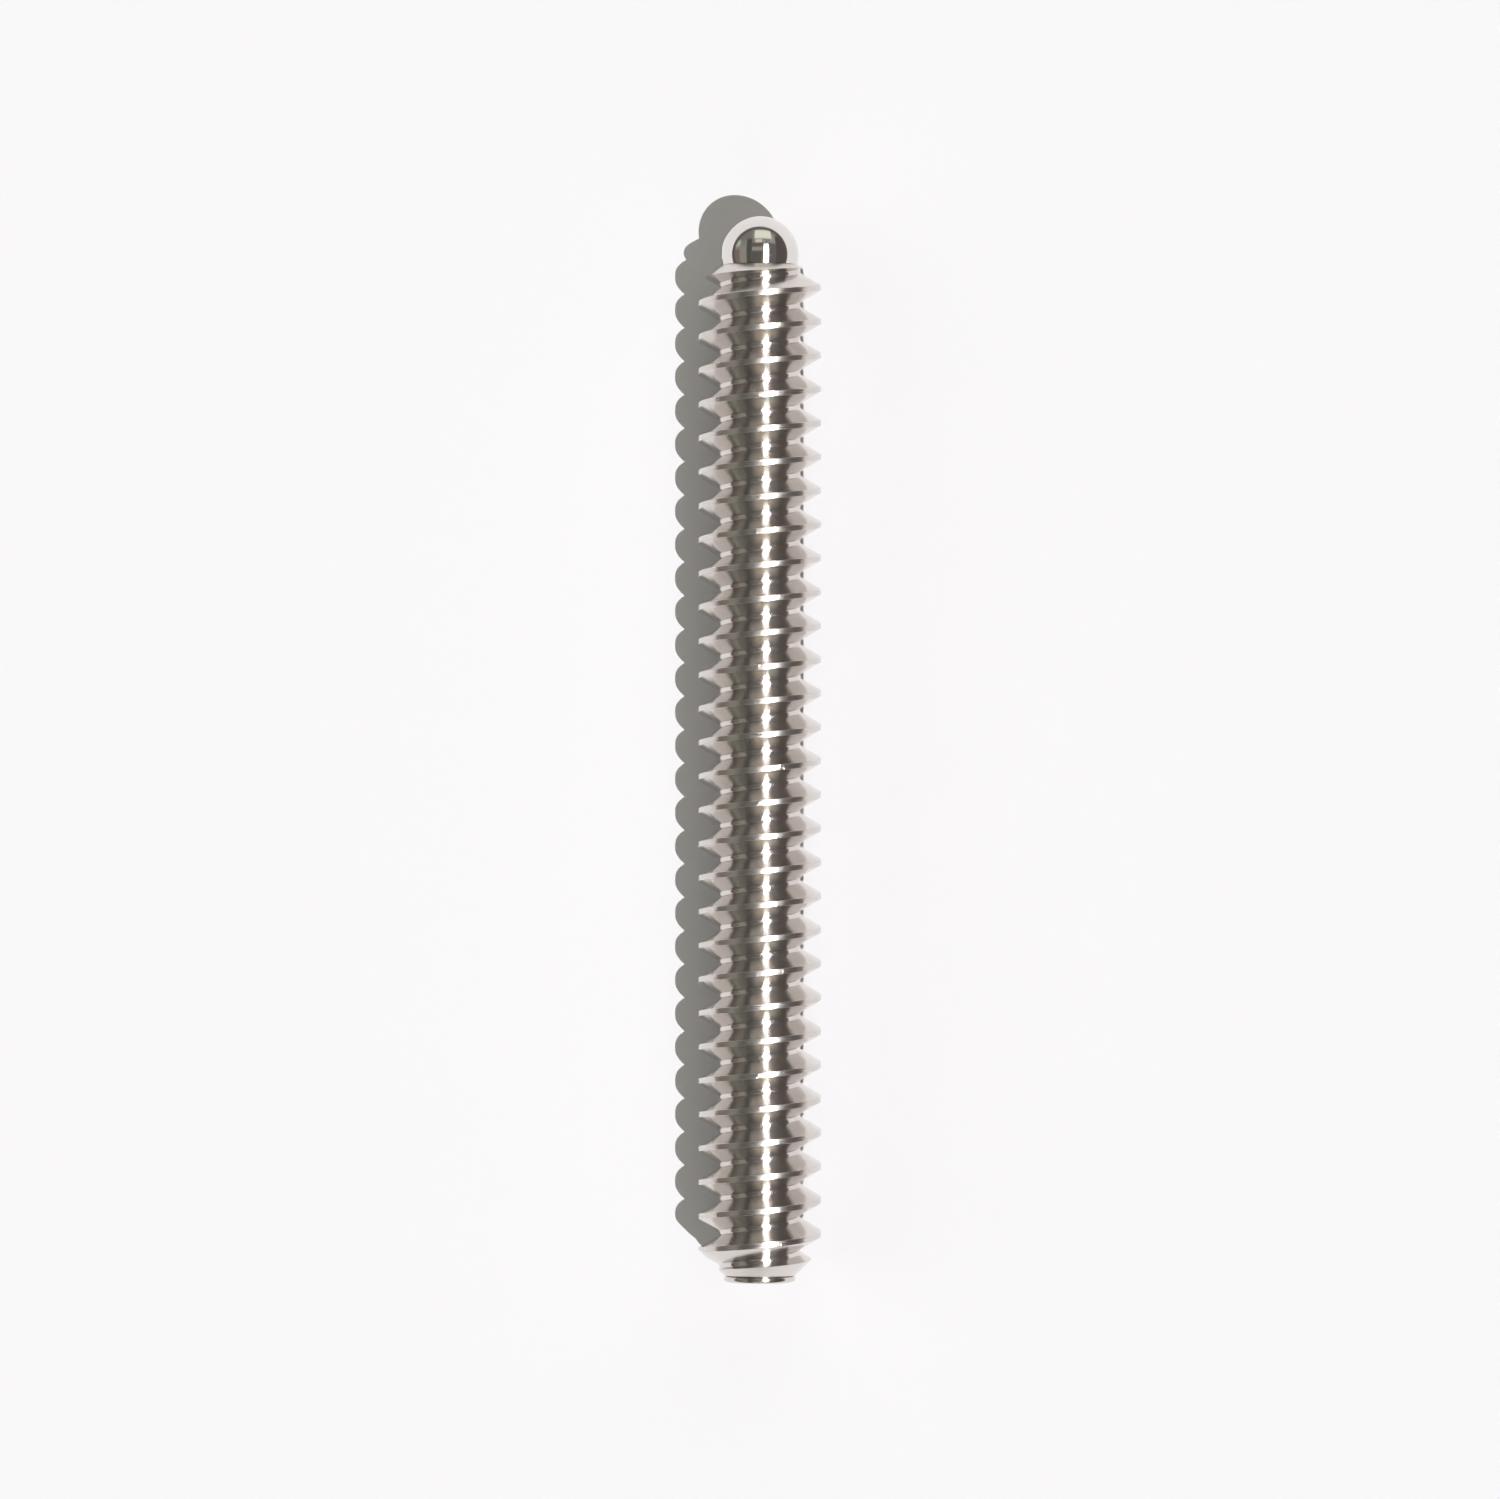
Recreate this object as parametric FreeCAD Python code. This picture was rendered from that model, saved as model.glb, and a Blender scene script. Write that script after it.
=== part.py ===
"""Ball-nose thrust screw: a headless stud with a sprung, turning ball nose and a plug in its tail.

The stud lies along +Y on the plane Z = 0, nose towards +Y. Each piece is modelled upright, with the axis on the
script's local Z, the body's front end plane at local Z = 0 and the tail at negative Z, and is then laid down.
Lengths are in millimetres, and a "depth" is measured from the front end plane towards the tail.
"""

import FreeCAD
import Part
import math
import os

# Thread: right-hand, 60 degree flanks, flat crest and root
MAJOR_RADIUS = 5.0
THREAD_PITCH = 2.75
THREAD_DEPTH = 1.70
ROOT_RADIUS = MAJOR_RADIUS - THREAD_DEPTH
ROOT_FLAT = 0.37
FLANK_ANGLE = 30.0
LEFT_CREST_DEPTH = 0.44  # where the crest line passes the stud's -X side, modulo the pitch
GROOVE_OVERREACH = 0.25  # how far the cutter stands out past the crest

# Body
BODY_LENGTH = 82.2
FRONT_RIM_RADIUS = 3.18
FRONT_CHAMFER_LENGTH = 1.43
TAIL_RIM_RADIUS = 2.93
TAIL_CHAMFER_LENGTH = MAJOR_RADIUS - TAIL_RIM_RADIUS
BORE_RADIUS = 2.50
BORE_SHOULDER_DEPTH = 4.0
STEM_PASSAGE_RADIUS = 1.70

# Nose ball and its travel
BALL_RADIUS = 3.175
BALL_PROUD = 0.84  # ball centre in front of the front end plane, at rest
NOSE_TRAVEL = 0.40
CUP_CLEARANCE = 0.02
BALL_FLAT_SETBACK = 2.80  # flat on the ball's back, behind its centre

# Stem
STEM_RADIUS = 1.50
SPIGOT_RADIUS = 1.00
SPIGOT_CLEARANCE = 0.005
SPIGOT_LENGTH = 2.80
SPIGOT_TIP_GAP = 0.05
STEM_END_DEPTH = 13.60
STEM_CHAMFER = 0.20

# Guide bush
BUSH_LENGTH = 8.0
RUNNING_CLEARANCE = 0.03
BUSH_CHAMFER = 0.25
GREASE_GROOVE_WIDTH = 1.2
GREASE_GROOVE_DEPTH = 0.25

# Stop ring in its groove on the stem
RING_GAP = 0.04
RING_THICKNESS = 0.40
RING_GROOVE_RADIUS = 1.10
RING_OUTER_RADIUS = 2.30
RING_SIDE_PLAY = 0.01
RING_NOTCH_RADIUS = 0.35

# Thrust washer and spring cup
WASHER_RADIUS = 1.46
WASHER_THICKNESS = 0.50
FACE_GAP = 0.01
CUP_SLEEVE_LENGTH = 0.75
CUP_OUTER_RADIUS = 2.42
CUP_FLOOR = 0.80
CUP_PILOT_RADIUS = 1.50
CUP_PILOT_LENGTH = 2.60
CUP_CHAMFER = 0.15

# Compression spring
WIRE_RADIUS = 0.30
COIL_RADIUS = 1.95
ACTIVE_COILS = 24
END_COILS = 1.5  # closed coils at each end

# Tail plug and guide rod
PLUG_SEAT_DEPTH = 70.0
BUTTON_RADIUS = 2.92
BUTTON_THICKNESS = 0.55
BUTTON_RIM_RADIUS = 0.27
HEX_ACROSS_FLATS = 3.0
HEX_DEPTH = 3.5
HEX_DRILL_CONE = 0.8
HEX_MOUTH_CHAMFER = 0.15
ROD_RADIUS = 1.40
ROD_SOCKET_DEPTH = 4.0
ROD_TIP_DEPTH = 20.5
ROD_CHAMFER = 0.30

AXIS = FreeCAD.Vector(0, 0, 1)
ORIGIN = FreeCAD.Vector(0, 0, 0)
OVERALL_LENGTH = BALL_RADIUS + BALL_PROUD + BODY_LENGTH + BUTTON_THICKNESS
FRONT_PLANE_Y = OVERALL_LENGTH / 2 - BALL_RADIUS - BALL_PROUD


def turned(outline):
    """A solid turned about the axis from (radius, depth) corners, listed once round."""
    corners = [FreeCAD.Vector(radius, 0, -depth) for radius, depth in outline]
    face = Part.Face(Part.makePolygon(corners + corners[:1]))
    return face.revolve(ORIGIN, AXIS, 360)


def rod(radius, start_depth, end_depth):
    """A plain cylinder on the axis between two depths."""
    return Part.makeCylinder(radius, end_depth - start_depth, FreeCAD.Vector(0, 0, -end_depth))


def ball(radius, centre_depth):
    return Part.makeSphere(radius, FreeCAD.Vector(0, 0, -centre_depth))


def helix_sweep(profile, pitch, height, radius, start_height):
    """A solid swept by a closed profile that stands in the XZ plane, along a right-hand helix from the +X side."""
    path = Part.Wire(Part.makeLongHelix(pitch, height, radius, 0, False).Edges)
    path.translate(FreeCAD.Vector(0, 0, start_height))
    sweep = Part.BRepOffsetAPI.MakePipeShell(path)
    sweep.setFrenetMode(True)
    sweep.add(profile, False, False)
    sweep.build()
    sweep.makeSolid()
    solid = Part.Solid(sweep.shape())
    if solid.Volume < 0:
        solid.reverse()
    return solid


def thread_groove():
    """The helical V groove that leaves the thread, from past the tail to past the nose."""
    tan_flank = math.tan(math.radians(FLANK_ANGLE))
    outer_radius = MAJOR_RADIUS + GROOVE_OVERREACH
    half_root = ROOT_FLAT / 2
    half_mouth = half_root + (outer_radius - ROOT_RADIUS) * tan_flank
    # On the +X side the groove's centre stands level with the crest on the -X side.
    turns_behind = math.ceil(BODY_LENGTH / THREAD_PITCH) + 1
    start_height = -LEFT_CREST_DEPTH - turns_behind * THREAD_PITCH
    height = (turns_behind + 2) * THREAD_PITCH
    corners = [
        FreeCAD.Vector(ROOT_RADIUS, 0, start_height - half_root),
        FreeCAD.Vector(outer_radius, 0, start_height - half_mouth),
        FreeCAD.Vector(outer_radius, 0, start_height + half_mouth),
        FreeCAD.Vector(ROOT_RADIUS, 0, start_height + half_root),
    ]
    profile = Part.makePolygon(corners + corners[:1])
    return helix_sweep(profile, THREAD_PITCH, height, ROOT_RADIUS, start_height)


def threaded_body():
    """The barrel: chamfered blank, thread, spherical seat at the nose, stem passage and the long bore."""
    blank = turned([
        (0, 0),
        (FRONT_RIM_RADIUS, 0),
        (MAJOR_RADIUS, FRONT_CHAMFER_LENGTH),
        (MAJOR_RADIUS, BODY_LENGTH - TAIL_CHAMFER_LENGTH),
        (TAIL_RIM_RADIUS, BODY_LENGTH),
        (0, BODY_LENGTH),
    ])
    threaded = blank.cut(thread_groove())
    seat_centre_depth = NOSE_TRAVEL - BALL_PROUD
    hollow = ball(BALL_RADIUS + CUP_CLEARANCE, seat_centre_depth).fuse([
        rod(STEM_PASSAGE_RADIUS, 0, BORE_SHOULDER_DEPTH),
        rod(BORE_RADIUS, BORE_SHOULDER_DEPTH, BODY_LENGTH + 1),
    ])
    return threaded.cut(hollow)


def nose_ball():
    """The ball, with a flat and a blind hole at its back for the stem."""
    flat_depth = BALL_FLAT_SETBACK - BALL_PROUD
    behind_flat = rod(BALL_RADIUS, flat_depth, flat_depth + BALL_RADIUS)
    hole = rod(SPIGOT_RADIUS, flat_depth - SPIGOT_LENGTH - SPIGOT_TIP_GAP, flat_depth + 1)
    return ball(BALL_RADIUS, -BALL_PROUD).cut(behind_flat).cut(hole)


def ring_front_depth():
    return BORE_SHOULDER_DEPTH + BUSH_LENGTH + RING_GAP


def plunger_stem():
    """The pin: spigot in the ball, running length in the bush, groove for the stop ring."""
    flat_depth = BALL_FLAT_SETBACK - BALL_PROUD
    spigot_radius = SPIGOT_RADIUS - SPIGOT_CLEARANCE
    groove_start = ring_front_depth() - RING_SIDE_PLAY
    groove_end = ring_front_depth() + RING_THICKNESS + RING_SIDE_PLAY
    return turned([
        (0, flat_depth - SPIGOT_LENGTH),
        (spigot_radius - STEM_CHAMFER, flat_depth - SPIGOT_LENGTH),
        (spigot_radius, flat_depth - SPIGOT_LENGTH + STEM_CHAMFER),
        (spigot_radius, flat_depth),
        (STEM_RADIUS, flat_depth),
        (STEM_RADIUS, groove_start),
        (RING_GROOVE_RADIUS, groove_start),
        (RING_GROOVE_RADIUS, groove_end),
        (STEM_RADIUS, groove_end),
        (STEM_RADIUS, STEM_END_DEPTH - STEM_CHAMFER),
        (STEM_RADIUS - STEM_CHAMFER, STEM_END_DEPTH),
        (0, STEM_END_DEPTH),
    ])


def guide_bush():
    """The bronze bush, with chamfered ends and a grease groove round the middle of its bore."""
    front = BORE_SHOULDER_DEPTH
    back = front + BUSH_LENGTH
    middle = (front + back) / 2
    inner = STEM_RADIUS + RUNNING_CLEARANCE
    return turned([
        (inner + BUSH_CHAMFER, front),
        (BORE_RADIUS - BUSH_CHAMFER, front),
        (BORE_RADIUS, front + BUSH_CHAMFER),
        (BORE_RADIUS, back - BUSH_CHAMFER),
        (BORE_RADIUS - BUSH_CHAMFER, back),
        (inner + BUSH_CHAMFER, back),
        (inner, back - BUSH_CHAMFER),
        (inner, middle + GREASE_GROOVE_WIDTH / 2),
        (inner + GREASE_GROOVE_DEPTH, middle + GREASE_GROOVE_WIDTH / 4),
        (inner + GREASE_GROOVE_DEPTH, middle - GREASE_GROOVE_WIDTH / 4),
        (inner, middle - GREASE_GROOVE_WIDTH / 2),
        (inner, front + BUSH_CHAMFER),
    ])


def stop_ring():
    """An open E-shaped ring: the mouth lets it snap over the groove, and two notches make it springy."""
    front = ring_front_depth()
    back = front + RING_THICKNESS
    ring = rod(RING_OUTER_RADIUS, front, back).cut(rod(RING_GROOVE_RADIUS + SPIGOT_CLEARANCE, front, back))
    mouth_width = 1.7 * RING_GROOVE_RADIUS
    mouth = Part.makeBox(RING_OUTER_RADIUS, mouth_width, RING_THICKNESS)
    mouth.translate(FreeCAD.Vector(0, -mouth_width / 2, -back))
    ring = ring.cut(mouth)
    for side in (-1, 1):
        angle = math.radians(180 + side * 60)
        notch = rod(RING_NOTCH_RADIUS, front, back)
        reach = RING_GROOVE_RADIUS + RING_NOTCH_RADIUS / 2
        notch.translate(FreeCAD.Vector(reach * math.cos(angle), reach * math.sin(angle), 0))
        ring = ring.cut(notch)
    return ring.Solids[0]


def thrust_washer():
    front = STEM_END_DEPTH + FACE_GAP
    return rod(WASHER_RADIUS, front, front + WASHER_THICKNESS)


def cup_floor_depth():
    return STEM_END_DEPTH + WASHER_THICKNESS + 2 * FACE_GAP


def spring_seat_depth():
    return cup_floor_depth() + CUP_FLOOR


def spring_cup():
    """The cup: a sleeve round the stem's end, a floor behind the washer and a pilot inside the spring."""
    floor = cup_floor_depth()
    seat = spring_seat_depth()
    mouth = STEM_END_DEPTH - CUP_SLEEVE_LENGTH
    inner = STEM_RADIUS + 2 * RUNNING_CLEARANCE
    pilot_end = seat + CUP_PILOT_LENGTH
    return turned([
        (0, floor),
        (inner, floor),
        (inner, mouth),
        (CUP_OUTER_RADIUS - CUP_CHAMFER, mouth),
        (CUP_OUTER_RADIUS, mouth + CUP_CHAMFER),
        (CUP_OUTER_RADIUS, seat),
        (CUP_PILOT_RADIUS, seat),
        (CUP_PILOT_RADIUS, pilot_end - 2 * CUP_CHAMFER),
        (CUP_PILOT_RADIUS - 2 * CUP_CHAMFER, pilot_end),
        (0, pilot_end),
    ])


def coil(start_height, pitch, turns, start_angle):
    """One stretch of the spring's centre line: a helix on the coil radius, as one wire."""
    path = Part.makeLongHelix(pitch, pitch * turns, COIL_RADIUS, 0, False)
    path.rotate(ORIGIN, AXIS, start_angle)
    path.translate(FreeCAD.Vector(0, 0, start_height))
    return path


def compression_spring():
    """A round-wire spring with closed coils at both ends, ground flat where it sits."""
    top = -spring_seat_depth()
    bottom = -PLUG_SEAT_DEPTH
    closed_pitch = 2 * WIRE_RADIUS + 0.02
    closed_height = closed_pitch * END_COILS
    open_height = top - bottom - 2 * closed_height
    stretches = [
        (bottom, closed_pitch, END_COILS),
        (bottom + closed_height, open_height / ACTIVE_COILS, ACTIVE_COILS),
        (top - closed_height, closed_pitch, END_COILS),
    ]
    edges = []
    angle = 0.0
    for start_height, pitch, turns in stretches:
        edges += coil(start_height, pitch, turns, angle).Edges
        angle += 360.0 * turns
    path = Part.Wire(edges)
    section = Part.Circle(FreeCAD.Vector(COIL_RADIUS, 0, bottom), FreeCAD.Vector(0, 1, 0), WIRE_RADIUS)
    sweep = Part.BRepOffsetAPI.MakePipeShell(path)
    sweep.setFrenetMode(True)
    sweep.add(Part.Wire(section.toShape()), False, False)
    sweep.build()
    sweep.makeSolid()
    wire = Part.Solid(sweep.shape())
    if wire.Volume < 0:
        wire.reverse()
    return wire.common(rod(BORE_RADIUS, -top, -bottom)).Solids[0]


def guide_rod():
    end = PLUG_SEAT_DEPTH + ROD_SOCKET_DEPTH
    return turned([
        (0, ROD_TIP_DEPTH),
        (ROD_RADIUS - ROD_CHAMFER, ROD_TIP_DEPTH),
        (ROD_RADIUS, ROD_TIP_DEPTH + ROD_CHAMFER),
        (ROD_RADIUS, end),
        (0, end),
    ])


def rounded_button():
    """The plug's head: a disc whose rim is fully rounded."""
    front = -BODY_LENGTH
    disc = Part.makeCylinder(BUTTON_RADIUS, BUTTON_THICKNESS, FreeCAD.Vector(0, 0, front - BUTTON_THICKNESS))
    rims = [edge for edge in disc.Edges if isinstance(edge.Curve, Part.Circle)]
    return disc.makeFillet(BUTTON_RIM_RADIUS, rims)


def hex_socket():
    """The cutter for the hexagon socket: the hexagon, the drill cone under it and the chamfered mouth."""
    mouth_depth = BODY_LENGTH + BUTTON_THICKNESS
    corner_radius = HEX_ACROSS_FLATS / math.sqrt(3)
    floor = mouth_depth - HEX_DEPTH
    corners = []
    for step in range(6):
        angle = math.radians(60 * step)
        corners.append(FreeCAD.Vector(corner_radius * math.cos(angle), corner_radius * math.sin(angle), -floor))
    hexagon = Part.Face(Part.makePolygon(corners + corners[:1])).extrude(FreeCAD.Vector(0, 0, -HEX_DEPTH - 1))
    half_flats = HEX_ACROSS_FLATS / 2
    drill_cone = turned([
        (0, floor - HEX_DRILL_CONE),
        (half_flats, floor),
        (half_flats, floor + HEX_DEPTH / 2),
        (0, floor + HEX_DEPTH / 2),
    ])
    mouth = turned([
        (0, mouth_depth - corner_radius - HEX_MOUTH_CHAMFER),
        (corner_radius + HEX_MOUTH_CHAMFER, mouth_depth),
        (0, mouth_depth),
    ])
    return hexagon.fuse([drill_cone, mouth])


def tail_plug():
    """The plug: shank in the bore, rounded button outside, socket for the rod in front and for the key behind."""
    shank = rod(BORE_RADIUS, PLUG_SEAT_DEPTH, BODY_LENGTH)
    rod_socket = rod(ROD_RADIUS, PLUG_SEAT_DEPTH - 1, PLUG_SEAT_DEPTH + ROD_SOCKET_DEPTH)
    return shank.fuse(rounded_button()).removeSplitter().cut(rod_socket).cut(hex_socket())


PIECES = [
    threaded_body,
    nose_ball,
    plunger_stem,
    guide_bush,
    stop_ring,
    thrust_washer,
    spring_cup,
    compression_spring,
    guide_rod,
    tail_plug,
]


def laid_down(shape):
    """The upright piece, laid with its nose towards +Y and its crests on the plane Z = 0."""
    placed = shape.copy()
    placed.rotate(ORIGIN, FreeCAD.Vector(1, 0, 0), -90)
    placed.translate(FreeCAD.Vector(0, FRONT_PLANE_Y, MAJOR_RADIUS))
    return placed


def main():
    os.makedirs("parts", exist_ok=True)
    for make in PIECES:
        piece = laid_down(make())
        if not piece.isValid() or len(piece.Solids) != 1:
            raise RuntimeError(f"{make.__name__} is not one valid solid")
        print(f"{make.__name__}: {piece.Volume:.2f} mm3, Y {piece.BoundBox.YMin:.2f} to {piece.BoundBox.YMax:.2f}")
        piece.exportStep(f"parts/{make.__name__}.step")


main()
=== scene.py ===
import math

import bmesh
import bpy
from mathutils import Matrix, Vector


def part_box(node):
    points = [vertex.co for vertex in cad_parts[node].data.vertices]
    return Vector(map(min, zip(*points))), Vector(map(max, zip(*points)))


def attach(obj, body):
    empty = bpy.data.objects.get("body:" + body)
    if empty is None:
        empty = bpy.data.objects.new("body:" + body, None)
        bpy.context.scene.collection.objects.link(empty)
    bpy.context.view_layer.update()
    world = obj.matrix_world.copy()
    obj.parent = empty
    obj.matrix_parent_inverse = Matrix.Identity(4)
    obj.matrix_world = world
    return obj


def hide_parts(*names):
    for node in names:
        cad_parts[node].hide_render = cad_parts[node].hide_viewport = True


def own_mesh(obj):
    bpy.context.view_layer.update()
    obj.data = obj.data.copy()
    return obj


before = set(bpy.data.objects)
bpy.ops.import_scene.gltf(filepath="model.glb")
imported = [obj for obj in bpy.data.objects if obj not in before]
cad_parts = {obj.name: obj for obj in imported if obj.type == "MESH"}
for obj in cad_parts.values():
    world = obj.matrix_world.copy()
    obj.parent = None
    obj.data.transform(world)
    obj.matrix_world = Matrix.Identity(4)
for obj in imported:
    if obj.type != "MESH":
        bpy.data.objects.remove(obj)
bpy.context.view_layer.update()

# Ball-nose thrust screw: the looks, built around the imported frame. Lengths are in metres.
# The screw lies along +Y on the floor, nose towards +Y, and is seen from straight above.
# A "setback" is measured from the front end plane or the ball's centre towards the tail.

MM = 0.001

# Places and radii that the frame gives
body_low, body_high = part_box("threaded_body")
ball_low, ball_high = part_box("nose_ball")
plug_low, plug_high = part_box("tail_plug")
spring_low, spring_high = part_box("compression_spring")
CREST_RADIUS = (body_high.z - body_low.z) / 2
AXIS_HEIGHT = (body_high.z + body_low.z) / 2
FRONT_Y = body_high.y
TAIL_Y = body_low.y
BALL_RADIUS = (ball_high.x - ball_low.x) / 2
BALL_Y = ball_high.y - BALL_RADIUS
BUTTON_RADIUS = (plug_high.x - plug_low.x) / 2
BUTTON_Y = plug_low.y
PLUG_SEAT_Y = plug_high.y
COIL_OUTSIDE = (spring_high.x - spring_low.x) / 2

# Thread: right-hand, 60 degree flanks, small rounds on crest and root corners
PITCH = 2.75 * MM
THREAD_DEPTH = 1.70 * MM
ROOT_FLAT = 0.37 * MM
FLANK_SLOPE = math.tan(math.radians(30))
LEFT_CREST_SETBACK = 0.44 * MM  # crest line behind the front plane on the -X side, modulo the pitch
CREST_ROUND = 0.04 * MM
ROOT_ROUND = 0.16 * MM
STEPS_PER_TURN = 160

# Ends and bore of the body
FRONT_RIM_RADIUS = 3.18 * MM
FRONT_CHAMFER = 1.43 * MM
TAIL_RIM_RADIUS = 2.93 * MM
BORE_RADIUS = 2.50 * MM
PASSAGE_RADIUS = 1.70 * MM
SHOULDER_SETBACK = 4.0 * MM
NOSE_TRAVEL = 0.40 * MM
CUP_CLEARANCE = 0.02 * MM
BLANK_OVERSIZE = 0.10 * MM
EDGE_BREAK = 0.04 * MM

# Ball, stem hole, plug and hexagon socket
BALL_FLAT_SETBACK = 2.80 * MM
SPIGOT_HOLE_RADIUS = 1.00 * MM
SPIGOT_HOLE_DEPTH = 2.85 * MM
BUTTON_RIM_RADIUS = 0.27 * MM
ROD_RADIUS = 1.40 * MM
ROD_SOCKET_DEPTH = 4.0 * MM
HEX_ACROSS_FLATS = 3.0 * MM
HEX_DEPTH = 3.5 * MM
HEX_DRILL_CONE = 0.8 * MM
HEX_MOUTH_CHAMFER = 0.15 * MM

# Spring
WIRE_RADIUS = 0.30 * MM
ACTIVE_COILS = 24
END_COILS = 1.5
CLOSED_PITCH = 2 * WIRE_RADIUS + 0.02 * MM

# Meshes
LATHE_STEPS = 192
WIRE_STEPS = 14
COIL_STEPS_PER_TURN = 48
CUP_STEPS = 24
BALL_STEPS = 96
SMOOTH_ANGLE = math.radians(28)
FULL_TURN = 2 * math.pi

# Surface of the metals. Scales are in noise cells per metre.
STAIN_SCALE = 260
STAIN_SHARPNESS = 3.0
LINE_SCALE_ALONG_FEED = 9000
LINE_SCALE_ROUND_AXIS = 120
FEED_PER_RADIUS = 0.6  # lets the lines cross flanks and end faces as well as cylinders
LINE_SHARE_OF_STAIN = 0.2
LINE_DEPTH = 0.003 * MM  # depth of the turning lines for a scratch strength of 1
ROUGHNESS_BELOW = 0.02
ROUGHNESS_ABOVE = 0.03
DENT_SCALE = 1500
WORN_DEPTH = 0.12 * MM  # how far in from the crests the wear reaches
CREST_DULLNESS = 0.10
NICK_SCALE = 1700
NICK_START = 0.60
NICK_FULL = 0.72
NICK_DEPTH = 0.012 * MM
QUARTER_TURN = 0.25  # stretches highlights along the screw, across the turning lines

# Floor
FLOOR_REACH = 4.0
PAPER_COLOUR = (0.822, 0.818, 0.820)
PAPER_TOOTH_SCALE = 900
PAPER_TOOTH_DEPTH = 0.01 * MM


# ---------------------------------------------------------------- mesh helpers

def corner_arc(before, corner, after, radius, steps):
    """The points of a round of this radius in place of a corner between two straight runs."""
    back = (before - corner).normalized()
    ahead = (after - corner).normalized()
    half = back.angle(ahead) / 2
    if radius <= 0 or half > math.radians(89):
        return [corner]
    reach = radius / math.tan(half)
    centre = corner + (back + ahead).normalized() * (radius / math.sin(half))
    start = corner + back * reach - centre
    end = corner + ahead * reach - centre
    sweep = start.angle(end)
    points = []
    for step in range(steps + 1):
        share = step / steps
        weight_start = math.sin((1 - share) * sweep) / math.sin(sweep)
        weight_end = math.sin(share * sweep) / math.sin(sweep)
        points.append(centre + start * weight_start + end * weight_end)
    return points


def rounded(corners, closed=True, steps=4):
    """A 2D outline from (u, v, round radius) corners, with an arc at each corner that has a radius."""
    points = [Vector((u, v)) for u, v, _ in corners]
    outline = []
    last = len(points) - 1
    for i, (_, _, radius) in enumerate(corners):
        if not closed and i in (0, last):
            outline.append(points[i])
        else:
            outline += corner_arc(points[i - 1], points[i], points[(i + 1) % len(points)], radius, steps)
    return outline


def arc(centre_v, radius, start_angle, end_angle, steps):
    """Points of a circle centred on the axis at v, with the angle measured from +v towards +u."""
    points = []
    for step in range(steps + 1):
        angle = start_angle + (end_angle - start_angle) * step / steps
        points.append(Vector((radius * math.sin(angle), centre_v + radius * math.cos(angle))))
    return points


def finished(mesh, name):
    """An object from a bmesh: outward normals, smooth shading, sharp where the surface has an edge."""
    bmesh.ops.recalc_face_normals(mesh, faces=mesh.faces)
    data = bpy.data.meshes.new(name)
    mesh.to_mesh(data)
    mesh.free()
    made = bpy.data.objects.new(name, data)
    bpy.context.scene.collection.objects.link(made)
    shade(made)
    return made


def shade(made):
    """Smooth shading with sharp edges where the surface turns by more than the smooth angle."""
    made.data.shade_smooth()
    made.data.set_sharp_from_angle(angle=SMOOTH_ANGLE)


def on_axis(radius, angle, y):
    """A point round the screw's axis: angle 0 is the -X side, and a quarter turn is the top."""
    return Vector((-radius * math.cos(angle), y, AXIS_HEIGHT + radius * math.sin(angle)))


def lathe(name, outline, steps=LATHE_STEPS):
    """A closed solid turned about the axis from a closed (radius, y) outline, which may touch the axis."""
    touching = 0.0001 * MM
    mesh = bmesh.new()
    rings = []
    for radius, y in outline:
        if radius < touching:
            rings.append([mesh.verts.new(on_axis(0, 0, y))] * steps)
        else:
            rings.append([mesh.verts.new(on_axis(radius, FULL_TURN * i / steps, y)) for i in range(steps)])
    for ring, following in zip(rings, rings[1:] + rings[:1]):
        for i in range(steps):
            j = (i + 1) % steps
            corners = [ring[i], ring[j], following[j], following[i]]
            unique = list(dict.fromkeys(corners))
            if len(unique) > 2:
                mesh.faces.new(unique)
    return finished(mesh, name)


def combined(base, cutter, operation):
    """Applies an exact boolean to base and removes the cutter."""
    cut = base.modifiers.new("cut", "BOOLEAN")
    cut.operation = operation
    cut.solver = "EXACT"
    cut.object = cutter
    bpy.context.view_layer.update()
    depsgraph = bpy.context.evaluated_depsgraph_get()
    shaped = bpy.data.meshes.new_from_object(base.evaluated_get(depsgraph))
    base.modifiers.clear()
    base.data = shaped
    shaped.name = base.name
    bpy.data.objects.remove(cutter)
    shade(base)
    return base


# ---------------------------------------------------------------- pieces

def thread_profile():
    """(radius, rise) points over one pitch, from the middle of one crest to the middle of the next."""
    root = CREST_RADIUS - THREAD_DEPTH
    crest_half = (PITCH - ROOT_FLAT) / 2 - THREAD_DEPTH * FLANK_SLOPE
    root_start = crest_half + THREAD_DEPTH * FLANK_SLOPE
    corners = [
        (CREST_RADIUS, 0, 0),
        (CREST_RADIUS, crest_half, CREST_ROUND),
        (root, root_start, ROOT_ROUND),
        (root, root_start + ROOT_FLAT, ROOT_ROUND),
        (CREST_RADIUS, PITCH - crest_half, CREST_ROUND),
        (CREST_RADIUS, PITCH, 0),
    ]
    return rounded(corners, closed=False)[:-1]


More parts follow.
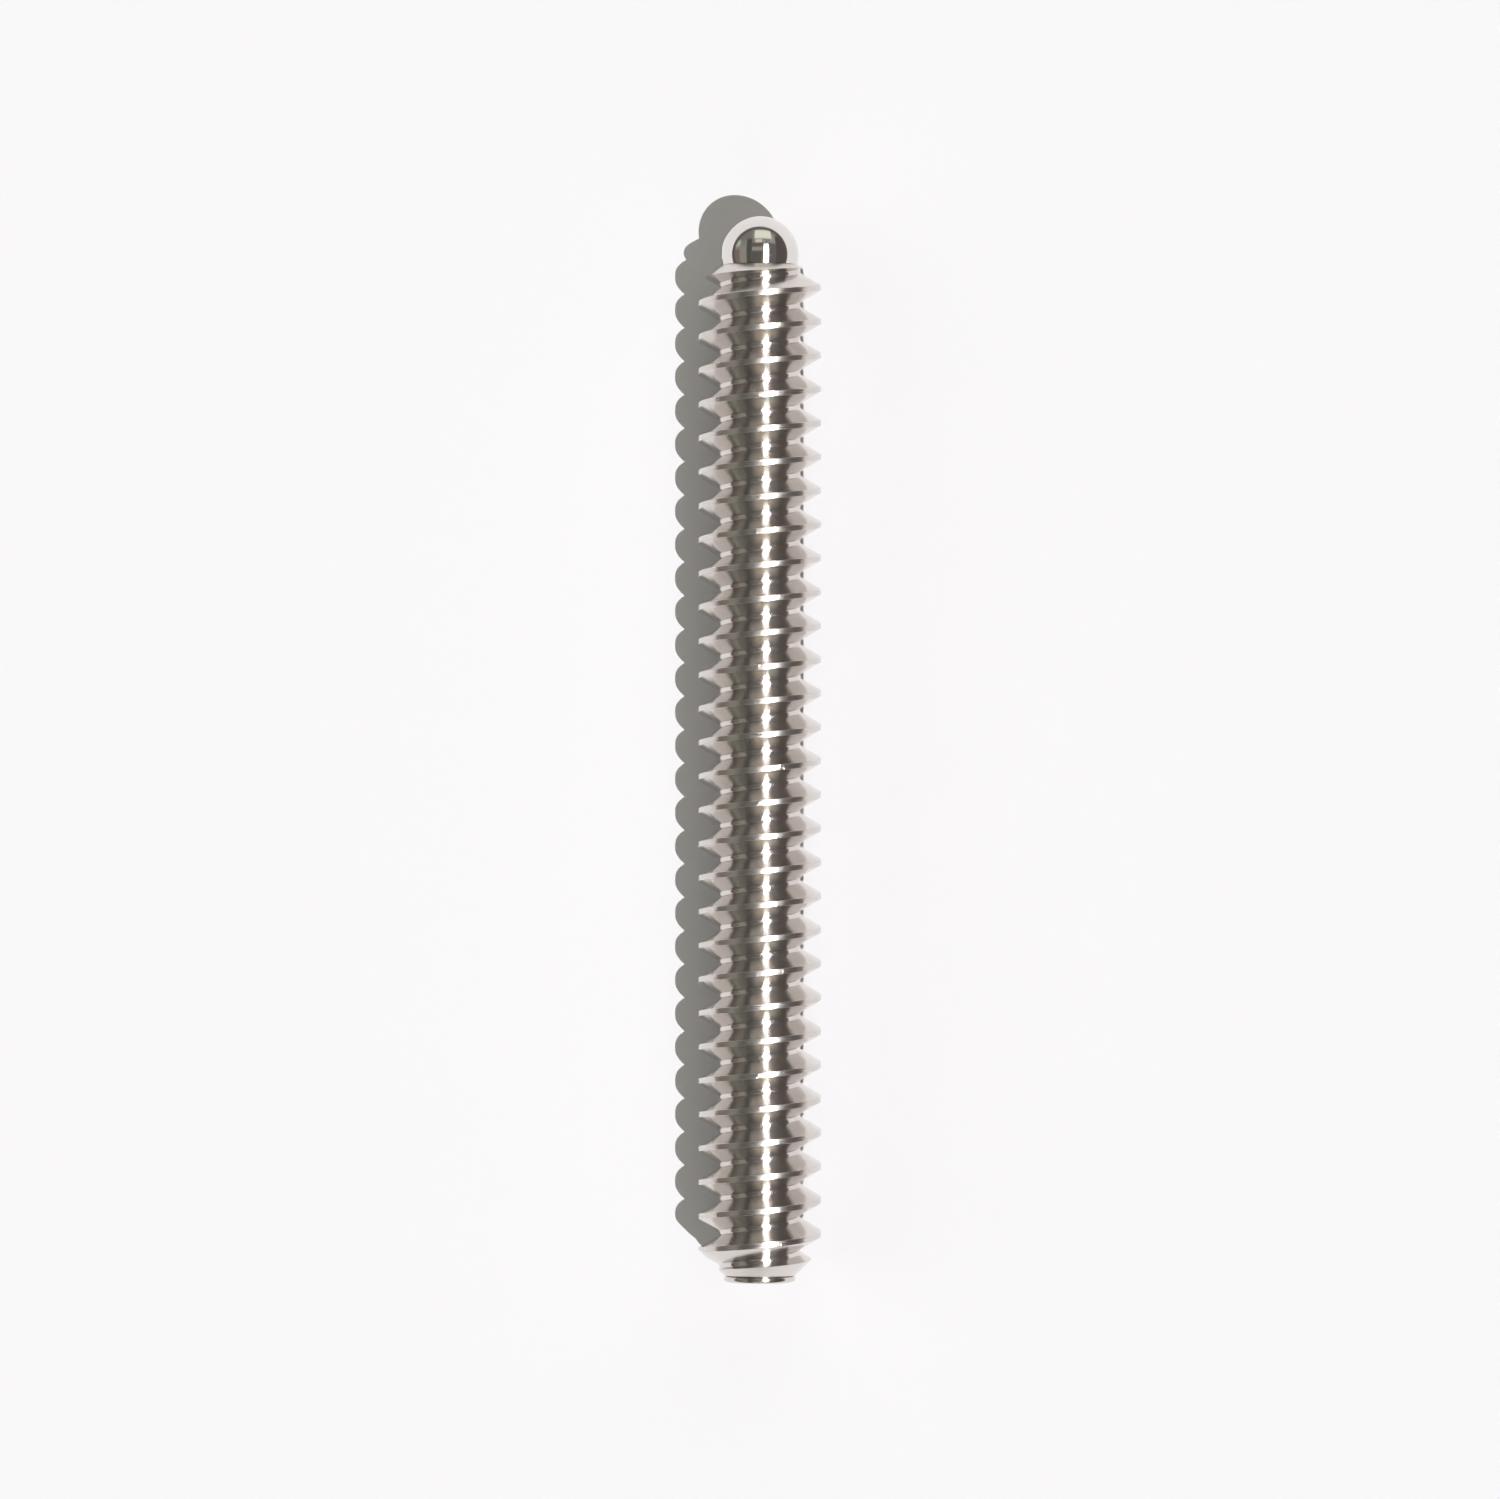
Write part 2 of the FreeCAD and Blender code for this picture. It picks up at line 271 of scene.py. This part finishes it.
def endless_thread():
    """A threaded rod that reaches a pitch or more past both ends of the body, to be cut to shape."""
    profile = thread_profile()
    turns = math.ceil((FRONT_Y - TAIL_Y) / PITCH) + 4
    start_y = FRONT_Y - LEFT_CREST_SETBACK - (turns - 2) * PITCH
    mesh = bmesh.new()
    columns = []
    for step in range((turns + 1) * STEPS_PER_TURN + 1):
        turn = step / STEPS_PER_TURN
        angle = FULL_TURN * turn
        y = start_y + PITCH * (turn - 1)
        columns.append([mesh.verts.new(on_axis(radius, angle, y + rise)) for radius, rise in profile])
    seam = STEPS_PER_TURN
    for i in range(len(columns) - 1):
        for j in range(len(profile) - 1):
            mesh.faces.new([columns[i][j], columns[i + 1][j], columns[i + 1][j + 1], columns[i][j + 1]])
        if i + 1 + seam < len(columns):
            next_turn = columns[i + seam]
            after_next_turn = columns[i + 1 + seam]
            mesh.faces.new([columns[i][-1], columns[i + 1][-1], after_next_turn[0], next_turn[0]])
    first_turn = [column[0] for column in columns[:seam + 1]]
    first_side = columns[0][1:][::-1]
    close_end(mesh, first_turn + first_side, start_y - 2 * PITCH)
    last_turn = [column[-1] for column in columns[-seam - 1:]]
    last_side = columns[-1][:-1][::-1]
    close_end(mesh, last_turn + last_side, start_y + (turns + 2) * PITCH)
    return finished(mesh, "threaded_barrel")


def close_end(mesh, loop, y):
    """Closes an open end of the rod with a fan to a point on the axis."""
    tip = mesh.verts.new(on_axis(0, 0, y))
    for one, other in zip(loop, loop[1:] + loop[:1]):
        mesh.faces.new([one, other, tip])


def body_blank():
    """The turned blank the thread is cut to: chamfers outside, seat, passage and bore inside."""
    outer = CREST_RADIUS + BLANK_OVERSIZE
    front_slope = FRONT_CHAMFER / (CREST_RADIUS - FRONT_RIM_RADIUS)
    cup_radius = BALL_RADIUS + CUP_CLEARANCE
    cup_y = BALL_Y - NOSE_TRAVEL
    mouth_angle = math.acos((FRONT_Y - cup_y) / cup_radius)
    passage_angle = math.pi - math.asin(PASSAGE_RADIUS / cup_radius)
    shoulder_y = FRONT_Y - SHOULDER_SETBACK
    cup = [(point.x, point.y, 0) for point in arc(cup_y, cup_radius, mouth_angle, passage_angle, CUP_STEPS)]
    corners = cup + [
        (PASSAGE_RADIUS, shoulder_y, 0),
        (BORE_RADIUS, shoulder_y, 0),
        (BORE_RADIUS, TAIL_Y, EDGE_BREAK),
        (TAIL_RIM_RADIUS, TAIL_Y, EDGE_BREAK),
        (outer, TAIL_Y + outer - TAIL_RIM_RADIUS, 0),
        (outer, FRONT_Y - (outer - FRONT_RIM_RADIUS) * front_slope, 0),
        (FRONT_RIM_RADIUS, FRONT_Y, 0),
    ]
    return lathe("blank", rounded(corners))


def threaded_barrel():
    """The body: the endless thread, cut to the turned blank."""
    return combined(endless_thread(), body_blank(), "INTERSECT")


def polished_ball():
    """The nose ball, with its flat and stem hole at the back."""
    flat_angle = math.acos(-BALL_FLAT_SETBACK / BALL_RADIUS)
    flat_y = BALL_Y - BALL_FLAT_SETBACK
    outline = arc(BALL_Y, BALL_RADIUS, 0, flat_angle, BALL_STEPS)
    outline[0].x = 0
    outline += [
        Vector((SPIGOT_HOLE_RADIUS, flat_y)),
        Vector((SPIGOT_HOLE_RADIUS, flat_y + SPIGOT_HOLE_DEPTH)),
        Vector((0, flat_y + SPIGOT_HOLE_DEPTH)),
    ]
    return lathe("polished_ball", outline)


def hexagon_cutter():
    """The broached hexagon, from the socket's floor to past the button's face."""
    mesh = bmesh.new()
    corner_radius = HEX_ACROSS_FLATS / math.sqrt(3)
    rings = []
    for y in (BUTTON_Y - HEX_DEPTH / 4, BUTTON_Y + HEX_DEPTH):
        rings.append([mesh.verts.new(on_axis(corner_radius, FULL_TURN * i / 6, y)) for i in range(6)])
    for i in range(6):
        j = (i + 1) % 6
        mesh.faces.new([rings[0][i], rings[0][j], rings[1][j], rings[1][i]])
    mesh.faces.new(rings[0])
    mesh.faces.new(rings[1])
    return finished(mesh, "hexagon")


def socket_turning():
    """What is turned out for the socket: the drilled cone under the hexagon and the chamfered mouth."""
    half_flats = HEX_ACROSS_FLATS / 2
    corner_radius = HEX_ACROSS_FLATS / math.sqrt(3)
    floor_y = BUTTON_Y + HEX_DEPTH
    mouth_radius = corner_radius + HEX_MOUTH_CHAMFER
    outline = [
        Vector((0, floor_y + HEX_DRILL_CONE)),
        Vector((half_flats, floor_y)),
        Vector((half_flats, BUTTON_Y + mouth_radius - half_flats)),
        Vector((2 * mouth_radius - half_flats, BUTTON_Y - mouth_radius + half_flats)),
        Vector((0, BUTTON_Y - mouth_radius + half_flats)),
    ]
    return lathe("socket", outline)


def button_plug():
    """The tail plug: shank in the bore, button with a fully rounded rim, hexagon socket in its face."""
    corners = [
        (0, BUTTON_Y, 0),
        (BUTTON_RADIUS, BUTTON_Y, BUTTON_RIM_RADIUS),
        (BUTTON_RADIUS, TAIL_Y, BUTTON_RIM_RADIUS),
        (BORE_RADIUS, TAIL_Y, 0),
        (BORE_RADIUS, PLUG_SEAT_Y, EDGE_BREAK),
        (ROD_RADIUS, PLUG_SEAT_Y, EDGE_BREAK),
        (ROD_RADIUS, PLUG_SEAT_Y - ROD_SOCKET_DEPTH, 0),
        (0, PLUG_SEAT_Y - ROD_SOCKET_DEPTH, 0),
    ]
    plug = lathe("button_plug", rounded(corners, steps=10))
    combined(plug, hexagon_cutter(), "DIFFERENCE")
    return combined(plug, socket_turning(), "DIFFERENCE")


def spring_height(turn):
    """How far the wire's centre has risen from the plug's seat after so many turns."""
    closed_rise = CLOSED_PITCH * END_COILS
    open_pitch = (spring_high.y - spring_low.y - 2 * closed_rise) / ACTIVE_COILS
    open_turns = min(max(turn - END_COILS, 0), ACTIVE_COILS)
    closed_turns = turn - open_turns
    return closed_turns * CLOSED_PITCH + open_turns * open_pitch


def coil_spring():
    """The spring: round wire, closed coils at both ends, ground flat where it sits."""
    turns = ACTIVE_COILS + 2 * END_COILS
    coil_radius = COIL_OUTSIDE - WIRE_RADIUS
    mesh = bmesh.new()
    rings = []
    for step in range(int(turns * COIL_STEPS_PER_TURN) + 1):
        turn = step / COIL_STEPS_PER_TURN
        centre_y = spring_low.y + spring_height(turn)
        ring = []
        for i in range(WIRE_STEPS):
            round_wire = FULL_TURN * i / WIRE_STEPS
            radius = coil_radius + WIRE_RADIUS * math.cos(round_wire)
            y = centre_y + WIRE_RADIUS * math.sin(round_wire)
            y = min(max(y, spring_low.y), spring_high.y)
            ring.append(mesh.verts.new(on_axis(radius, FULL_TURN * turn, y)))
        rings.append(ring)
    for ring, following in zip(rings, rings[1:]):
        for i in range(WIRE_STEPS):
            j = (i + 1) % WIRE_STEPS
            mesh.faces.new([ring[i], ring[j], following[j], following[i]])
    mesh.faces.new(rings[0])
    mesh.faces.new(rings[-1])
    return finished(mesh, "coil_spring")


# ---------------------------------------------------------------- material helpers

def add(tree, kind, inputs=None, **settings):
    """A shader node of this kind, with these settings, and with values or links on its inputs."""
    made = tree.nodes.new("ShaderNode" + kind)
    for name, value in settings.items():
        setattr(made, name, value)
    for socket, value in (inputs or {}).items():
        if isinstance(value, bpy.types.NodeSocket):
            tree.links.new(value, made.inputs[socket])
        else:
            made.inputs[socket].default_value = value
    return made


def maths(tree, operation, *values):
    """The result of one maths node on these values."""
    made = add(tree, "Math", dict(enumerate(values)), operation=operation)
    return made.outputs[0]


def ranged(tree, value, low, high):
    """A 0 to 1 value spread over low to high."""
    inputs = {"Value": value, "To Min": low, "To Max": high}
    return add(tree, "MapRange", inputs).outputs["Result"]


def screw_axes(tree):
    """X, Y and the height over the screw's axis, and the distance from that axis."""
    axes = add(tree, "SeparateXYZ", {0: add(tree, "TexCoord").outputs["Object"]})
    height = maths(tree, "SUBTRACT", axes.outputs["Z"], AXIS_HEIGHT)
    squares = maths(tree, "ADD", maths(tree, "POWER", axes.outputs["X"], 2), maths(tree, "POWER", height, 2))
    return axes.outputs["X"], axes.outputs["Y"], height, maths(tree, "SQRT", squares)


def turning_lines(tree, across, around):
    """Coordinates that run fast along the tool's feed and slowly round the axis."""
    x, y, height, radius = screw_axes(tree)
    feed = maths(tree, "ADD", y, maths(tree, "MULTIPLY", radius, FEED_PER_RADIUS))
    return add(tree, "CombineXYZ", {
        "X": maths(tree, "MULTIPLY", x, around),
        "Y": maths(tree, "MULTIPLY", feed, across),
        "Z": maths(tree, "MULTIPLY", height, around),
    }).outputs[0]


def crest_wear(tree):
    """0 on the flanks and 1 on the crests, which nuts, boxes and fingers rub."""
    radius = screw_axes(tree)[3]
    inputs = {"Value": radius, "From Min": CREST_RADIUS - WORN_DEPTH, "From Max": CREST_RADIUS}
    return add(tree, "MapRange", inputs, interpolation_type="SMOOTHSTEP").outputs["Result"]


def noise(tree, vector, scale, detail=3, roughness=0.55):
    """A 0 to 1 noise value at these coordinates."""
    inputs = {"Vector": vector, "Scale": scale, "Detail": detail, "Roughness": roughness}
    return add(tree, "TexNoise", inputs).outputs[0]


def metal_colour(tree, clouds, lines, colour, stain):
    """The metal's colour, stained where the clouds and the turning lines are both strong."""
    strength = maths(tree, "ADD", clouds, maths(tree, "MULTIPLY", lines, LINE_SHARE_OF_STAIN))
    inputs = {"Factor": maths(tree, "POWER", strength, STAIN_SHARPNESS), "A": (*colour, 1), "B": (*stain, 1)}
    return add(tree, "Mix", inputs, data_type="RGBA").outputs["Result"]


def metal_roughness(tree, clouds, lines, worn, roughness, scratches):
    """Rougher in the clouds, along the turning lines and on the worn crests."""
    clean = ranged(tree, clouds, roughness - ROUGHNESS_BELOW, roughness + ROUGHNESS_ABOVE)
    scratched = maths(tree, "ADD", clean, maths(tree, "MULTIPLY", lines, scratches))
    return maths(tree, "ADD", scratched, maths(tree, "MULTIPLY", worn, CREST_DULLNESS))


def metal_relief(tree, place, lines, worn, scratches, dent_height):
    """The bumped normal: soft dents all over, nicks on the worn crests, and fine turning lines."""
    dents = noise(tree, place, DENT_SCALE)
    soft = add(tree, "Bump", {"Height": dents, "Strength": 1.0, "Distance": dent_height})
    nicked = add(tree, "MapRange", {
        "Value": noise(tree, place, NICK_SCALE, detail=2),
        "From Min": NICK_START,
        "From Max": NICK_FULL,
    })
    nicks = add(tree, "Bump", {
        "Height": maths(tree, "MULTIPLY", nicked.outputs["Result"], worn),
        "Strength": 1.0,
        "Distance": NICK_DEPTH,
        "Normal": soft.outputs[0],
    })
    fine = add(tree, "Bump", {
        "Height": lines,
        "Strength": 1.0,
        "Distance": scratches * LINE_DEPTH,
        "Normal": nicks.outputs[0],
    })
    return fine.outputs[0]


def turned_metal(name, colour, stain, roughness, anisotropy, scratches, dent_height):
    """Polished turned metal with fine turning lines, faint stains, soft dents and worn crests."""
    material = bpy.data.materials.new(name)
    material.use_nodes = True
    tree = material.node_tree
    shader = tree.nodes["Principled BSDF"]
    place = add(tree, "TexCoord").outputs["Object"]
    clouds = noise(tree, place, STAIN_SCALE, detail=4)
    feed = turning_lines(tree, LINE_SCALE_ALONG_FEED, LINE_SCALE_ROUND_AXIS)
    lines = noise(tree, feed, 1.0, roughness=0.6)
    worn = crest_wear(tree)
    tangent = add(tree, "Tangent", direction_type="RADIAL", axis="Y")
    links = {
        "Base Color": metal_colour(tree, clouds, lines, colour, stain),
        "Roughness": metal_roughness(tree, clouds, lines, worn, roughness, scratches),
        "Normal": metal_relief(tree, place, lines, worn, scratches, dent_height),
        "Tangent": tangent.outputs[0],
    }
    for socket, value in links.items():
        tree.links.new(value, shader.inputs[socket])
    shader.inputs["Metallic"].default_value = 1.0
    shader.inputs["Anisotropic"].default_value = anisotropy
    shader.inputs["Anisotropic Rotation"].default_value = QUARTER_TURN
    return material


def polished_stainless():
    return turned_metal(
        "polished_stainless", colour=(0.695, 0.665, 0.638), stain=(0.56, 0.52, 0.48),
        roughness=0.14, anisotropy=0.6, scratches=0.08, dent_height=0.0045 * MM,
    )


def mirror_ball_steel():
    return turned_metal(
        "mirror_ball_steel", colour=(0.76, 0.735, 0.71), stain=(0.70, 0.67, 0.63),
        roughness=0.09, anisotropy=0.6, scratches=0.01, dent_height=0.0004 * MM,
    )


def ground_steel():
    return turned_metal(
        "ground_steel", colour=(0.56, 0.55, 0.54), stain=(0.44, 0.42, 0.40),
        roughness=0.24, anisotropy=0.7, scratches=0.30, dent_height=0.001 * MM,
    )


def oiled_spring_wire():
    return turned_metal(
        "oiled_spring_wire", colour=(0.34, 0.33, 0.33), stain=(0.24, 0.22, 0.20),
        roughness=0.30, anisotropy=0.4, scratches=0.20, dent_height=0.002 * MM,
    )


def turned_bronze():
    return turned_metal(
        "turned_bronze", colour=(0.62, 0.40, 0.19), stain=(0.42, 0.25, 0.12),
        roughness=0.24, anisotropy=0.7, scratches=0.30, dent_height=0.001 * MM,
    )


def paper_floor():
    """A plain, pale, matt sheet with the faintest tooth."""
    material = bpy.data.materials.new("paper_floor")
    material.use_nodes = True
    tree = material.node_tree
    shader = tree.nodes["Principled BSDF"]
    place = add(tree, "TexCoord").outputs["Object"]
    tooth = noise(tree, place, PAPER_TOOTH_SCALE)
    shader.inputs["Base Color"].default_value = (*PAPER_COLOUR, 1)
    shader.inputs["Roughness"].default_value = 0.85
    shader.inputs["Specular IOR Level"].default_value = 0.2
    bump = add(tree, "Bump", {"Height": tooth, "Strength": 0.4, "Distance": PAPER_TOOTH_DEPTH})
    tree.links.new(bump.outputs[0], shader.inputs["Normal"])
    return material


def paint(piece, material):
    """Gives the piece this material in place of any it has."""
    piece.data.materials.clear()
    piece.data.materials.append(material)


# ---------------------------------------------------------------- the object

STAINLESS = polished_stainless()
BALL_STEEL = mirror_ball_steel()
GROUND_STEEL = ground_steel()
SPRING_STEEL = oiled_spring_wire()
BRONZE = turned_bronze()

# Maker, CAD node that it replaces, body that it rides on, material slot, material
NEW_PIECES = [
    (threaded_barrel, "threaded_body", "barrel", "polished_steel", STAINLESS),
    (polished_ball, "nose_ball", "nose", "ball_steel", BALL_STEEL),
    (button_plug, "tail_plug", "barrel", "plug_steel", STAINLESS),
    (coil_spring, "compression_spring", "barrel", "spring_steel", SPRING_STEEL),
]
for make, node, body, slot_name, material in NEW_PIECES:
    piece = make()
    paint(piece, material)
    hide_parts(node)
    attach(piece, body)

spring = bpy.data.objects["coil_spring"]
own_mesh(spring)

CARRIED_OVER = {
    "plunger_stem": GROUND_STEEL,
    "spring_cup": GROUND_STEEL,
    "guide_rod": GROUND_STEEL,
    "stop_ring": SPRING_STEEL,
    "guide_bush": BRONZE,
    "thrust_washer": BRONZE,
}
for node, material in CARRIED_OVER.items():
    paint(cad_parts[node], material)


# ---------------------------------------------------------------- floor, light and camera

bpy.ops.mesh.primitive_plane_add(size=2 * FLOOR_REACH, location=(0, 0, body_low.z))
floor = bpy.context.object
floor.name = "floor"
paint(floor, paper_floor())

# The room above the table. A place in it is the (x, y) slope of the mirror that shows it to someone straight
# above: overhead is (0, 0), the horizon is the circle of radius 1, and +Y is the far side. A panel is a name,
# a reach in x, a reach in y and a colour as linear light. Later panels cover earlier ones.
ROOM_COLOUR = (0.30, 0.30, 0.28)
SKIRTING_START = 0.84
SKIRTING_COLOUR = (0.15, 0.125, 0.115)
ROOM_PANELS = [
    ("near ceiling", (-0.20, 0.20), (-0.84, -0.30), (0.58, 0.57, 0.54)),
    ("left wall", (-0.76, -0.34), (-0.80, 0.24), (0.34, 0.335, 0.30)),
    ("left shelf", (-0.84, -0.60), (-0.50, 0.16), (0.25, 0.21, 0.18)),
    ("left door", (-0.72, -0.24), (0.42, 0.80), (0.25, 0.24, 0.235)),
    ("left curtain", (-0.80, -0.58), (0.26, 0.46), (0.52, 0.58, 0.48)),
    ("left beam", (-0.36, -0.20), (-0.90, 0.44), (0.120, 0.120, 0.106)),
    ("camera stand", (-0.24, 0.11), (-0.30, 0.08), (0.150, 0.140, 0.130)),
    ("lamp bars", (-0.20, 0.09), (0.09, 0.18), (0.40, 0.39, 0.36)),
    ("far shelf", (-0.20, 0.20), (0.19, 0.31), (0.16, 0.14, 0.13)),
    ("far lamp", (-0.12, 0.07), (0.31, 0.41), (0.78, 0.72, 0.60)),
    ("right screen", (0.28, 0.44), (0.30, 0.60), (0.40, 0.39, 0.37)),
    ("right shade", (0.20, 0.46), (-0.95, 0.30), (0.185, 0.168, 0.168)),
    ("right wall", (0.46, 0.84), (-0.90, 0.60), (0.135, 0.113, 0.106)),
    ("far window", (-0.15, 0.34), (0.44, 0.78), (0.86, 0.88, 0.78)),
]
PANEL_EDGE = 0.018

# A narrow lamp over the screw that only polished metal shows, so that it adds a glint and no light
STRIP_ACROSS = (0.124, 0.219)
STRIP_ALONG = (-0.22, 0.24)
STRIP_COLOUR = (24.0, 23.4, 23.0)

PAST_FLOOR_COLOUR = (0.93, 0.92, 0.92)

# Camera: the width that it sees at the axis, its distance as a multiple of that, and where it stands
SEEN_WIDTH = 122.15 * MM
DISTANCE_IN_WIDTHS = 5.0
CAMERA_X = -0.79 * MM
CAMERA_Y = -0.05 * MM
SENSOR_WIDTH_MM = 36.0

# Points of the camera's response, as linear light: (what it sees, what it records)
FILM_RESPONSE = [(0.25, 0.225), (0.75, 0.79)]


def inside(tree, value, low, high):
    """1 between low and high and 0 outside, with soft edges."""
    middle = (low + high) / 2
    reach = (high - low) / 2
    away = maths(tree, "ABSOLUTE", maths(tree, "SUBTRACT", value, middle))
    fade = add(tree, "MapRange", {
        "Value": away, "From Min": reach + PANEL_EDGE, "From Max": reach - PANEL_EDGE,
    }, interpolation_type="SMOOTHSTEP")
    return fade.outputs["Result"]


def mixed(tree, factor, one, other):
    """The colour one where the factor is 0 and the colour other where it is 1."""
    inputs = {"Factor": factor, "A": one, "B": other}
    return add(tree, "Mix", inputs, data_type="RGBA").outputs["Result"]


def room_colour(tree, across, along):
    """The room's panels, with the skirting all round below them."""
    colour = (*ROOM_COLOUR, 1)
    for _, (left, right), (near, far), panel_colour in ROOM_PANELS:
        panel = maths(tree, "MULTIPLY", inside(tree, across, left, right), inside(tree, along, near, far))
        colour = mixed(tree, panel, colour, (*panel_colour, 1))
    squares = maths(tree, "ADD", maths(tree, "POWER", across, 2), maths(tree, "POWER", along, 2))
    above_skirting = inside(tree, maths(tree, "SQRT", squares), -SKIRTING_START, SKIRTING_START)
    return mixed(tree, above_skirting, (*SKIRTING_COLOUR, 1), colour)


def room_light():
    """The room with its strip lamp. Past the floor's edge the camera sees a colour as pale as the floor."""
    world = bpy.data.worlds.new("room")
    world.use_nodes = True
    bpy.context.scene.world = world
    tree = world.node_tree
    axes = add(tree, "SeparateXYZ", {0: add(tree, "TexCoord").outputs["Generated"]})
    depth = maths(tree, "ADD", maths(tree, "MAXIMUM", axes.outputs["Z"], 0.0), 1.0)
    across = maths(tree, "DIVIDE", axes.outputs["X"], depth)
    along = maths(tree, "DIVIDE", axes.outputs["Y"], depth)
    strip = maths(tree, "MULTIPLY", inside(tree, across, *STRIP_ACROSS), inside(tree, along, *STRIP_ALONG))
    path = add(tree, "LightPath").outputs
    polished = maths(tree, "MULTIPLY", strip, path["Is Glossy Ray"])
    lit = mixed(tree, polished, room_colour(tree, across, along), (*STRIP_COLOUR, 1))
    shown = mixed(tree, path["Is Camera Ray"], lit, (*PAST_FLOOR_COLOUR, 1))
    tree.links.new(shown, tree.nodes["Background"].inputs["Color"])


def sun_light(name, towards, energy, angle, colour, mirrored=True):
    """Parallel light from this direction, softer with a larger angle. Metal shows it only if mirrored."""
    lamp = bpy.data.lights.new(name, "SUN")
    lamp.energy = energy
    lamp.angle = math.radians(angle)
    lamp.color = colour
    sun = bpy.data.objects.new(name, lamp)
    bpy.context.scene.collection.objects.link(sun)
    sun.visible_glossy = mirrored
    sun.rotation_mode = "QUATERNION"
    sun.rotation_quaternion = Vector(towards).to_track_quat("Z", "Y")


def camera():
    """Straight above, far off with a long lens, the screw a little right of the middle."""
    distance = DISTANCE_IN_WIDTHS * SEEN_WIDTH
    lens = bpy.data.cameras.new("camera")
    lens.sensor_width = SENSOR_WIDTH_MM
    lens.lens = SENSOR_WIDTH_MM * DISTANCE_IN_WIDTHS
    lens.clip_end = 100
    viewer = bpy.data.objects.new("camera", lens)
    bpy.context.scene.collection.objects.link(viewer)
    viewer.location = (CAMERA_X, CAMERA_Y, AXIS_HEIGHT + distance)
    bpy.context.scene.camera = viewer


def film():
    """A camera's slightly steep response: middle tones a little darker and light ones a little lighter."""
    view = bpy.context.scene.view_settings
    view.view_transform = "Standard"
    view.use_curve_mapping = True
    combined_curve = view.curve_mapping.curves[3]
    for seen, recorded in FILM_RESPONSE:
        combined_curve.points.new(seen, recorded)
    view.curve_mapping.update()


room_light()
sun_light("key", towards=(0.334, -0.375, 1.0), energy=2.84, angle=0.53, colour=(0.972, 0.964, 1.0))
sun_light("fill", towards=(-1.0, 0.0, 0.7), energy=0.42, angle=40, colour=(0.98, 0.99, 1.0), mirrored=False)
camera()
film()
